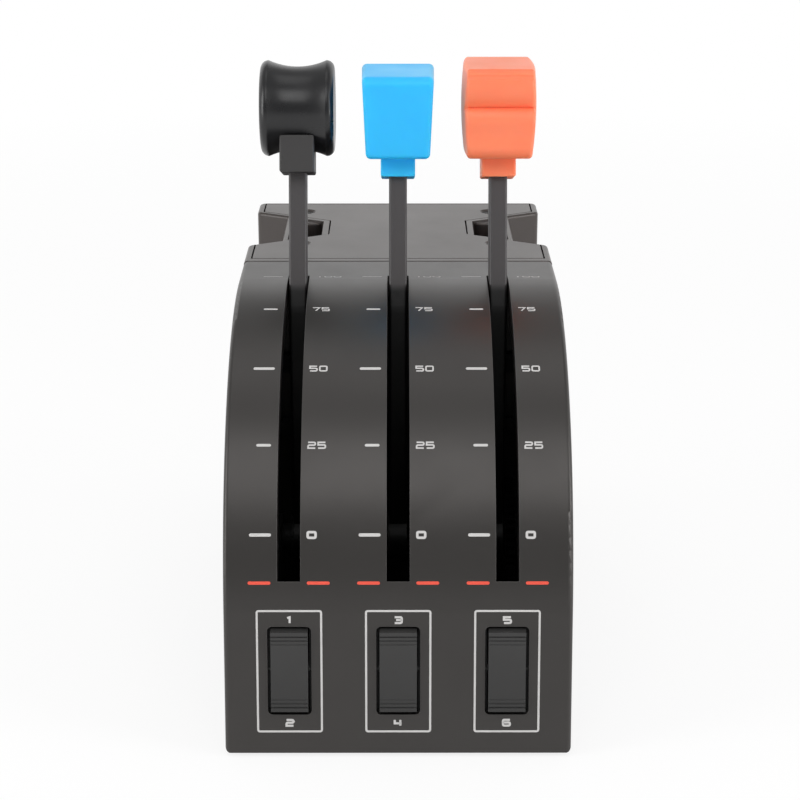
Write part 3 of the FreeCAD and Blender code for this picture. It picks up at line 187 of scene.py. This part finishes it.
# What a finish's values mean: rough is the roughness and spread how far the patches shift it, grain the
# height of the texture and size its cells per metre, edge how strongly the edges are lightened, partly as
# wear and partly as painted highlight, and edgeWearAndHighlightPale how pale that makes them, softEdge
# the rounding of shaded edges in mm, glow the light that passes into the plastic, gloss the strength of
# reflections, and warm tints them.
finishTable = {
    # the housing's strong edge values paint a pale line along its edges: partly wear, partly painted
    # highlight
    "housing": dict(
        color=(0.0250, 0.0236, 0.0222), rough=0.34, spread=0.03, grain=0.30, size=2600,
        edge=0.9, edgeWearAndHighlightPale=0.09, softEdge=0.25, warm=True
    ),
    "bracket": dict(
        color=(0.043, 0.036, 0.033), rough=0.33, spread=0.02, grain=0.30, size=2600,
        edge=0.35, softEdge=0.25, warm=True
    ),
    "inner_plastic": dict(
        color=(0.012, 0.012, 0.012), rough=0.75, grain=0.3, size=2200, edge=0.0, softEdge=0.2
    ),
    "rocker": dict(
        color=(0.026, 0.0255, 0.025), rough=0.42, grain=0.25, size=3200, edge=0.3, softEdge=0.18
    ),
    "black_grip": dict(color=(0.007, 0.007, 0.008), rough=0.29, size=3000, edge=0.2, softEdge=0.3),
    "neck": dict(
        color=(0.029, 0.0275, 0.0275), rough=0.55, grain=0.4, size=2400, edge=0.25, softEdge=0.3
    ),
    "blue_grip": dict(
        color=(0.026, 0.495, 1.0), rough=0.42, grain=0.14, size=3000,
        edge=0.12, softEdge=0.3, glow=0.35, gloss=0.3
    ),
    "orange_grip": dict(
        color=(1.0, 0.236, 0.115), rough=0.40, grain=0.14, size=3000,
        edge=0.12, softEdge=0.3, glow=0.35, gloss=0.35
    ),
    "lever_bar": dict(
        color=(0.048, 0.044, 0.045), rough=0.46, grain=0.25, size=2800, edge=0.4, softEdge=0.2
    ),
    "gear": dict(color=(0.004, 0.004, 0.004), rough=0.9, grain=0.2, size=2400, edge=0.0, gloss=0.1),
    "sensor_can": dict(color=(0.012, 0.012, 0.013), rough=0.5, grain=0.2, size=2600, softEdge=0.15),
    "steel": dict(color=(0.55, 0.55, 0.56), rough=0.30, size=1600, softEdge=0.15, metal=1.0),
    "dark_screw": dict(color=(0.05, 0.05, 0.05), rough=0.40, size=2000, edge=0.4, metal=0.8),
    "black_oxide": dict(color=(0.016, 0.016, 0.016), rough=0.6, size=2000),
    "circuit": dict(color=(0.010, 0.045, 0.022), rough=0.50, size=1500),
    "lead": dict(color=(0.015, 0.015, 0.015), rough=0.60, size=1500, edge=0.0),
    "rubber": dict(color=(0.022, 0.022, 0.022), rough=0.80, grain=0.6, size=1800, softEdge=0.2),
    "thumb_screw": dict(
        color=(0.018, 0.018, 0.018), rough=0.42, grain=0.3, size=2400, edge=0.3, softEdge=0.25
    ),
    "print_pale": dict(
        color=(0.56, 0.55, 0.54), rough=0.60, grain=0.3, size=4200, edge=0.0, softEdge=0.02
    ),
    "print_red": dict(
        color=(0.80, 0.085, 0.05), rough=0.60, grain=0.3, size=4200, edge=0.0, softEdge=0.02
    ),
}

# what a finish has where its row doesn't say otherwise
finishDefaults = dict(
    grain=0.10, edge=0.1, edgeWearAndHighlightPale=0.02, softEdge=0.1, spread=0.06, metal=0.0, glow=0.0, gloss=0.5, warm=False
)

# what all finishes share
finishRules = {
    "patchRange": (0.3, 0.7),  # part of the patch noise that shifts the roughness
    "darkPatch": 0.92,
    "lightPatch": 1.10,
    "patchLift": 0.0015,
    # how much paler the edges get: partly wear, partly painted highlight
    "edgeWearAndHighlightGain": 1.5,
    "grainDepth": 0.06 * mm,
    "glowDepth": 8 * mm,
    "warmTint": (1.0, 0.955, 0.935, 1.0),
}

# pieces whose finish isn't the one that their slot in the record would give
finishByNode = {
    "lever_shaft": "black_oxide",
    "shaft_spacers": "black_oxide",
    "friction_washers": "black_oxide",
    "clamp_bolts": "black_oxide",
    "jaw_bolts": "black_oxide",
}


def makeFinish(name, values, rules):
    material = bpy.data.materials.new(name)
    material.use_nodes = True
    tree = material.node_tree
    link = tree.links.new
    color = values["color"]
    shader = tree.nodes["Principled BSDF"]
    shader.inputs["Metallic"].default_value = values["metal"]
    shader.inputs["Subsurface Weight"].default_value = values["glow"]
    shader.inputs["Subsurface Scale"].default_value = rules["glowDepth"]
    shader.inputs["Subsurface Radius"].default_value = color
    shader.inputs["Specular IOR Level"].default_value = values["gloss"]
    if values["warm"]:
        shader.inputs["Specular Tint"].default_value = rules["warmTint"]
    skin = addNode(tree, "ShaderNodeGroup", node_tree=mouldedGrain)
    skin.inputs["Scale"].default_value = values["size"]
    wearAndHighlight = addNode(tree, "ShaderNodeGroup", node_tree=wearAndEdgeHighlight)
    wearAndHighlight.inputs["Edge Wear And Highlight"].default_value = values["edge"]
    lighter = [min(1.0, part * rules["lightPatch"] + rules["patchLift"]) for part in color]
    darker = [part * rules["darkPatch"] for part in color]
    # pale edge colour: partly wear, partly painted highlight along the edges
    edgeWearAndHighlightColor = [min(1.0, part * rules["edgeWearAndHighlightGain"] + values["edgeWearAndHighlightPale"]) for part in color]
    tone = addNode(tree, "ShaderNodeMix", data_type="RGBA")
    tone.inputs["A"].default_value = (*darker, 1.0)
    tone.inputs["B"].default_value = (*lighter, 1.0)
    edgeWearAndHighlightMix = addNode(tree, "ShaderNodeMix", data_type="RGBA")
    edgeWearAndHighlightMix.inputs["B"].default_value = (*edgeWearAndHighlightColor, 1.0)
    polish = addNode(tree, "ShaderNodeMapRange")
    shift = values["spread"]
    setRange(polish, rules["patchRange"], (values["rough"] + shift, values["rough"] - shift))
    soften = addNode(tree, "ShaderNodeBevel", {"Radius": values["softEdge"] * mm}, samples=6)
    bump = addNode(tree, "ShaderNodeBump", {"Strength": values["grain"], "Distance": rules["grainDepth"]})
    link(wearAndHighlight.outputs["Patches"], tone.inputs["Factor"])
    link(tone.outputs["Result"], edgeWearAndHighlightMix.inputs["A"])
    link(wearAndHighlight.outputs["Edges"], edgeWearAndHighlightMix.inputs["Factor"])
    link(edgeWearAndHighlightMix.outputs["Result"], shader.inputs["Base Color"])
    link(wearAndHighlight.outputs["Patches"], polish.inputs["Value"])
    link(polish.outputs["Result"], shader.inputs["Roughness"])
    link(skin.outputs["Height"], bump.inputs["Height"])
    link(soften.outputs["Normal"], bump.inputs["Normal"])
    link(bump.outputs["Normal"], shader.inputs["Normal"])
    return material


# painted shade on the lever bars' inner stretch, from the fascia inwards
leverSlotShade = {"slotShadeColor": (0.006, 0.006, 0.006, 1.0), "fade": 2.5 * mm}


def darkenInside(material, values):
    # painted shade: the bars are painted near black where they run inside the housing, for the shade in
    # the slots; a mask by distance from the shaft
    tree = material.node_tree
    link = tree.links.new
    shader = tree.nodes["Principled BSDF"]
    painted = shader.inputs["Base Color"].links[0].from_socket
    place = addNode(tree, "ShaderNodeTexCoord")
    offset = addNode(tree, "ShaderNodeVectorMath", {1: tuple(shaft)}, operation="SUBTRACT")
    radial = addNode(tree, "ShaderNodeVectorMath", {1: (0.0, 1.0, 1.0)}, operation="MULTIPLY")
    away = addNode(tree, "ShaderNodeVectorMath", operation="LENGTH")
    mask = addNode(tree, "ShaderNodeMapRange")
    setRange(mask, (fasciaRadius - values["fade"], fasciaRadius), (0.0, 1.0))
    tone = addNode(tree, "ShaderNodeMix", data_type="RGBA")
    tone.inputs["A"].default_value = values["slotShadeColor"]
    link(place.outputs["Object"], offset.inputs[0])
    link(offset.outputs["Vector"], radial.inputs[0])
    link(radial.outputs["Vector"], away.inputs[0])
    link(away.outputs["Value"], mask.inputs["Value"])
    link(mask.outputs["Result"], tone.inputs["Factor"])
    link(painted, tone.inputs["B"])
    link(tone.outputs["Result"], shader.inputs["Base Color"])


finishes = {}
for name, row in finishTable.items():
    finishes[name] = makeFinish(name, finishDefaults | row, finishRules)
# painted shade on the lever bars where they run inside the slots
darkenInside(finishes["lever_bar"], leverSlotShade)
for name, node in nodes.items():
    for place in node.material_slots:
        finish = finishByNode.get(name, place.material.name.split(".")[0])
        place.material = finishes[finish]
print("finishes made:", len(finishes))


# printed scales, numbers and switch frames; places across are measured from each slot's middle
printValues = {
    "lift": 0.03 * mm,
    "thick": 0.03 * mm,
    "line": 1.1 * mm,
    "shortLine": 0.95 * mm,
    "numberCorner": 0.5 * mm,
    # degrees up the arc, and the number there
    "marks": [(22.8, "0"), (39.95, "25"), (56.8, "50"), (74.5, "75"), (92.0, "100")],
    "longMark": (-13.3 * mm, -5.9 * mm),
    "shortMark": (-11.3 * mm, -6.3 * mm),
    "numberStart": 6.0 * mm,
    "stopAngle": 13.8,
    "stopMark": (6.1 * mm, 13.8 * mm),
    "frameWidth": 22.4 * mm,
    "frameLine": 0.7 * mm,
    "frameCorner": 0.7 * mm,
    # upright heights above the face's bottom edge
    "frameLow": 7.3 * mm,
    "frameHigh": 50.1 * mm,
    "labelLow": 9.3 * mm,
    "labelHigh": 45.2 * mm,
}

# how finely strokes are drawn; sharpest limits how far a mitre reaches out
strokeRules = {"cornerSteps": 4, "endSteps": 8, "sharpest": 0.6}

# three sizes of figures: the scale's, its heavier zero, and those above and below the switches
figureSizes = {
    "scale": dict(height=2.65 * mm, width=3.0 * mm, gap=0.40 * mm, line=0.56 * mm),
    "zero": dict(height=2.75 * mm, width=3.5 * mm, gap=0.40 * mm, line=0.85 * mm),
    "label": dict(height=2.8 * mm, width=3.1 * mm, gap=0.55 * mm, line=0.75 * mm),
}

# strokes of each digit on a grid one wide and one high; a third 0 keeps that corner square
digitStrokes = {
    "0": [([(0, 0), (1, 0), (1, 1), (0, 1)], True)],
    "1": [([(0.25, 0.86), (0.6, 1, 0), (0.6, 0)], False)],
    "2": [([(0, 1), (1, 1), (1, 0.52), (0, 0.52), (0, 0, 0), (1, 0)], False)],
    "3": [([(0, 1), (1, 1), (1, 0), (0, 0)], False), ([(0.2, 0.52), (1, 0.52)], False)],
    "4": [([(0, 1), (0, 0.4, 0), (1, 0.4)], False), ([(0.8, 1), (0.8, 0)], False)],
    "5": [([(1, 1), (0, 1, 0), (0, 0.56, 0), (1, 0.56), (1, 0), (0, 0)], False)],
    "6": [([(1, 1), (0, 1), (0, 0), (1, 0), (1, 0.54), (0, 0.54, 0)], False)],
    "7": [([(0, 1), (1, 1, 0), (0.45, 0)], False)],
}


def roundedPath(points, closed, radius, square=()):
    # each corner but the square ones becomes a short curve, so that a printed stroke turns softly
    count = len(points)
    path = []
    for index, point in enumerate(points):
        here = Vector(point)
        if index in square or not closed and index in (0, count - 1):
            path.append(here)
            continue
        before = Vector(points[index - 1])
        after = Vector(points[(index + 1) % count])
        back = (before - here).normalized()
        ahead = (after - here).normalized()
        reach = min(radius, (before - here).length / 2, (after - here).length / 2)
        start = here + back * reach
        end = here + ahead * reach
        for step in range(strokeRules["cornerSteps"] + 1):
            share = step / strokeRules["cornerSteps"]
            path.append(start * (1 - share) ** 2 + here * 2 * share * (1 - share) + end * share ** 2)
    return path


def addStroke(mesh, points, closed, width, plane, lift, thick):
    # a flat ribbon of even width along a path, as a thin closed solid
    count = len(points)
    rails = []
    for index, here in enumerate(points):
        first = index == 0 and not closed
        last = index == count - 1 and not closed
        before = here - (points[1] - here) if first else points[index - 1]
        after = here + (here - points[index - 1]) if last else points[(index + 1) % count]
        sideIn = (here - before).normalized()
        sideOut = (after - here).normalized()
        mitre = Vector((-(sideIn.y + sideOut.y), sideIn.x + sideOut.x)).normalized()
        stretch = 1 / max(strokeRules["sharpest"], mitre.dot(Vector((-sideIn.y, sideIn.x))))
        offset = mitre * width / 2 * stretch
        corners = []
        for across in (here + offset, here - offset):
            for level in (lift, lift + thick):
                corners.append(mesh.verts.new(plane @ Vector((across.x, across.y, level))))
        rails.append(corners)
    for index in range(count if closed else count - 1):
        near, far = rails[index], rails[(index + 1) % count]
        for one, other in ((1, 3), (3, 2), (2, 0), (0, 1)):
            mesh.faces.new((near[one], far[one], far[other], near[other]))
    if not closed:
        for end in (rails[0], rails[-1]):
            mesh.faces.new((end[0], end[1], end[3], end[2]))


def addNumber(mesh, text, plane, left, middle, kind, values):
    # figures side by side from a left edge, centred on a height
    figure = figureSizes[kind]
    height = figure["height"] - figure["line"]
    width = figure["width"] - figure["line"]
    for place, digit in enumerate(text):
        start = left + figure["line"] / 2 + place * (figure["width"] + figure["gap"])
        for stroke, closed in digitStrokes[digit]:
            points = [(start + x * width, middle + (y - 0.5) * height) for x, y, *_ in stroke]
            square = [index for index, corner in enumerate(stroke) if len(corner) == 3]
            path = roundedPath(points, closed, values["numberCorner"], square)
            addStroke(mesh, path, closed, figure["line"], plane, values["lift"], values["thick"])


def placeMesh(name, mesh):
    data = bpy.data.meshes.new(name)
    mesh.to_mesh(data)
    mesh.free()
    piece = bpy.data.objects.new(name, data)
    bpy.context.scene.collection.objects.link(piece)
    return piece


def finishPrint(name, mesh, finish, body):
    bmesh.ops.recalc_face_normals(mesh, faces=mesh.faces)
    piece = placeMesh(name, mesh)
    piece.data.materials.append(finishes[finish])
    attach(piece, body)


def addDash(mesh, plane, low, high, line, values):
    # a short bar with round ends
    radius = line / 2
    outline = []
    for middle, start in ((high - radius, -90), (low + radius, 90)):
        for step in range(strokeRules["endSteps"] + 1):
            angle = math.radians(start + step * 180 / strokeRules["endSteps"])
            outline.append((middle + radius * math.cos(angle), radius * math.sin(angle)))
    rings = []
    for level in (values["lift"], values["lift"] + values["thick"]):
        rings.append([mesh.verts.new(plane @ Vector((x, y, level))) for x, y in outline])
    bottom, top = rings
    mesh.faces.new(bottom[::-1])
    mesh.faces.new(top)
    for index in range(len(outline)):
        after = (index + 1) % len(outline)
        mesh.faces.new((bottom[index], bottom[after], top[after], top[index]))


def printScales(values):
    for name, x in zip(leverNames, leverX):
        mesh = bmesh.new()
        for index, (angle, text) in enumerate(values["marks"]):
            plane = arcPlane(x, angle)
            long = index % 2 == 0
            low, high = values["longMark"] if long else values["shortMark"]
            addDash(mesh, plane, low, high, values["line"] if long else values["shortLine"], values)
            kind = "zero" if text == "0" else "scale"
            addNumber(mesh, text, plane, values["numberStart"], 0.0, kind, values)
        finishPrint(name + "_scale_print", mesh, "print_pale", "base")
        mesh = bmesh.new()
        for side in (-1, 1):
            low, high = sorted(side * edge for edge in values["stopMark"])
            addDash(mesh, arcPlane(x, values["stopAngle"]), low, high, values["line"], values)
        finishPrint(name + "_stop_print", mesh, "print_red", "base")


def printSwitchFrames(values):
    half = values["frameWidth"] / 2 - values["frameLine"] / 2
    low = values["frameLow"] + values["frameLine"] / 2
    high = values["frameHigh"] - values["frameLine"] / 2
    figure = figureSizes["label"]
    rise = 1 / math.cos(faceTilt)  # way along the tilted face for each upright mm
    corners = [(-half, low * rise), (half, low * rise), (half, high * rise), (-half, high * rise)]
    path = roundedPath(corners, True, values["frameCorner"])
    for index, x in enumerate(leverX):
        mesh = bmesh.new()
        plane = facePlane(x)
        addStroke(mesh, path, True, values["frameLine"], plane, values["lift"], values["thick"])
        for number, height in ((2 * index + 1, values["labelHigh"]), (2 * index + 2, values["labelLow"])):
            middle = height * rise + figure["height"] / 2
            addNumber(mesh, str(number), plane, -figure["width"] / 2, middle, "label", values)
        finishPrint(switchNames[index] + "_switch_print", mesh, "print_pale", "base")


printScales(printValues)
printSwitchFrames(printValues)
print("prints made")


# floor, room, lamps and camera
floorValues = {
    "size": 7.0,
    "color": (0.96, 0.96, 0.96, 1.0),
    "patchScale": 3.0,
    "patchLift": 1.02,  # how much brighter the soft patches are
    "rough": 0.9,
    "gloss": 0.2,
    "shadowShare": 0.17,  # how much of the floor's own light and shadow shows near the object
    "shadowFade": (0.3, 1.1),  # distances (m) between which that share falls to nothing
}


def makeFloor(values):
    mesh = bmesh.new()
    half = values["size"] / 2
    corners = ((-half, -half), (half, -half), (half, half), (-half, half))
    mesh.faces.new([mesh.verts.new((x, y, 0.0)) for x, y in corners])
    floor = placeMesh("floor", mesh)
    material = bpy.data.materials.new("floor_pale")
    material.use_nodes = True
    tree = material.node_tree
    link = tree.links.new
    shader = tree.nodes["Principled BSDF"]
    shader.inputs["Roughness"].default_value = values["rough"]
    shader.inputs["Specular IOR Level"].default_value = values["gloss"]
    cloud = addNode(tree, "ShaderNodeTexNoise", {"Scale": values["patchScale"], "Detail": 3.0})
    tone = addNode(tree, "ShaderNodeMix", data_type="RGBA")
    tone.inputs["A"].default_value = values["color"]
    tone.inputs["B"].default_value = [min(1.0, part * values["patchLift"]) for part in values["color"]]
    link(cloud.outputs["Fac"], tone.inputs["Factor"])
    link(tone.outputs["Result"], shader.inputs["Base Color"])
    # seen directly, in a reflection or through something, the floor is white with a soft shadow
    white = addNode(tree, "ShaderNodeEmission", {"Color": (1, 1, 1, 1), "Strength": 1.0})
    path = addNode(tree, "ShaderNodeLightPath")
    seen = addNode(tree, "ShaderNodeMath", operation="MAXIMUM")
    through = addNode(tree, "ShaderNodeMath", operation="MAXIMUM")
    place = addNode(tree, "ShaderNodeTexCoord")
    away = addNode(tree, "ShaderNodeVectorMath", operation="LENGTH")
    fade = addNode(tree, "ShaderNodeMapRange")
    setRange(fade, values["shadowFade"], (1.0 - values["shadowShare"], 1.0))
    share = addNode(tree, "ShaderNodeMath", operation="MULTIPLY")
    mix = addNode(tree, "ShaderNodeMixShader")
    link(path.outputs["Is Camera Ray"], seen.inputs[0])
    link(path.outputs["Is Glossy Ray"], seen.inputs[1])
    link(seen.outputs[0], through.inputs[0])
    link(path.outputs["Is Transmission Ray"], through.inputs[1])
    link(place.outputs["Object"], away.inputs[0])
    link(away.outputs["Value"], fade.inputs["Value"])
    link(fade.outputs["Result"], share.inputs[0])
    link(through.outputs[0], share.inputs[1])
    link(share.outputs[0], mix.inputs["Fac"])
    link(shader.outputs[0], mix.inputs[1])
    link(white.outputs[0], mix.inputs[2])
    link(mix.outputs[0], tree.nodes["Material Output"].inputs["Surface"])
    floor.data.materials.append(material)


# light that the surfaces get from the room; Z and Y are those of a direction one long
roomValues = {
    "light": 0.46,
    "backdrop": 1.1,  # low and behind the object
    "frontDim": 0.30,  # low and in front
    "backdropTop": (0.47, 0.72),  # Z where both give way to the room's light
    "backdropSide": (-0.35, 0.35),  # Y where the dim front turns into the backdrop
}


def makeWorld(values):
    # the camera itself sees plain white
    world = bpy.data.worlds.new("studio")
    bpy.context.scene.world = world
    world.use_nodes = True
    tree = world.node_tree
    link = tree.links.new
    tree.nodes.clear()
    place = addNode(tree, "ShaderNodeTexCoord")
    split = addNode(tree, "ShaderNodeSeparateXYZ")
    low = addNode(tree, "ShaderNodeMapRange", interpolation_type="SMOOTHSTEP")
    setRange(low, values["backdropTop"], (1.0, 0.0))
    behind = addNode(tree, "ShaderNodeMapRange", interpolation_type="SMOOTHSTEP")
    setRange(behind, values["backdropSide"], (values["frontDim"], values["backdrop"]))
    blend = addNode(tree, "ShaderNodeMix", data_type="FLOAT")
    blend.inputs["A"].default_value = values["light"]
    lit = addNode(tree, "ShaderNodeBackground", {"Color": (1, 1, 1, 1)})
    seen = addNode(tree, "ShaderNodeBackground", {"Color": (1, 1, 1, 1), "Strength": 1.0})
    path = addNode(tree, "ShaderNodeLightPath")
    mix = addNode(tree, "ShaderNodeMixShader")
    out = addNode(tree, "ShaderNodeOutputWorld")
    link(place.outputs["Generated"], split.inputs[0])
    link(split.outputs["Z"], low.inputs["Value"])
    link(split.outputs["Y"], behind.inputs["Value"])
    link(low.outputs["Result"], blend.inputs["Factor"])
    link(behind.outputs["Result"], blend.inputs["B"])
    link(blend.outputs["Result"], lit.inputs["Strength"])
    link(path.outputs["Is Camera Ray"], mix.inputs["Fac"])
    link(lit.outputs[0], mix.inputs[1])
    link(seen.outputs[0], mix.inputs[2])
    link(mix.outputs[0], out.inputs["Surface"])


# each lamp: size (m), energy (W), place, and the point it faces
lampTable = {
    "frontBox": dict(size=(1.3, 0.85), energy=7.4, place=(0.0, -1.15, 1.35), aim=(0.0, -0.05, 0.10)),
    "leftBox": dict(size=(0.5, 1.0), energy=8.0, place=(-1.2, -0.5, 0.5), aim=(0.0, 0.0, 0.1)),
    "rightBox": dict(size=(0.5, 1.0), energy=8.0, place=(1.2, -0.5, 0.5), aim=(0.0, 0.0, 0.1)),
    "topBox": dict(size=(1.0, 0.7), energy=1.8, place=(0.0, 0.1, 1.6), aim=(0.0, 0.0, 0.1)),
}


def makeLamps(table):
    for name, values in table.items():
        data = bpy.data.lights.new(name, "AREA")
        data.shape = "RECTANGLE"
        data.size, data.size_y = values["size"]
        data.energy = values["energy"]
        lamp = bpy.data.objects.new(name, data)
        lamp.location = values["place"]
        heading = Vector(values["aim"]) - Vector(values["place"])
        lamp.rotation_mode = "QUATERNION"
        lamp.rotation_quaternion = heading.to_track_quat("-Z", "Y")
        bpy.context.scene.collection.objects.link(lamp)


# lens and sensor in mm, angles in degrees, the rest in m; ahead is measured from the fascia's front
cameraValues = {
    "lens": 90.45,
    "sensor": 36.0,
    "ahead": 0.611,
    "height": 0.335,
    "side": -0.0002,
    "pitch": 18.67,
    "turn": -0.075,
    "near": 0.05,
}


def makeCamera(values):
    data = bpy.data.cameras.new("camera")
    data.lens = values["lens"]
    data.sensor_width = values["sensor"]
    data.clip_start = values["near"]
    camera = bpy.data.objects.new("camera", data)
    camera.location = (values["side"], coverLow.y - values["ahead"], values["height"])
    camera.rotation_euler = (math.radians(90 - values["pitch"]), 0.0, math.radians(values["turn"]))
    bpy.context.scene.collection.objects.link(camera)
    bpy.context.scene.camera = camera


makeFloor(floorValues)
makeWorld(roomValues)
makeLamps(lampTable)
makeCamera(cameraValues)
bpy.context.scene.view_settings.view_transform = "Standard"
print("stage, lamps and camera made")
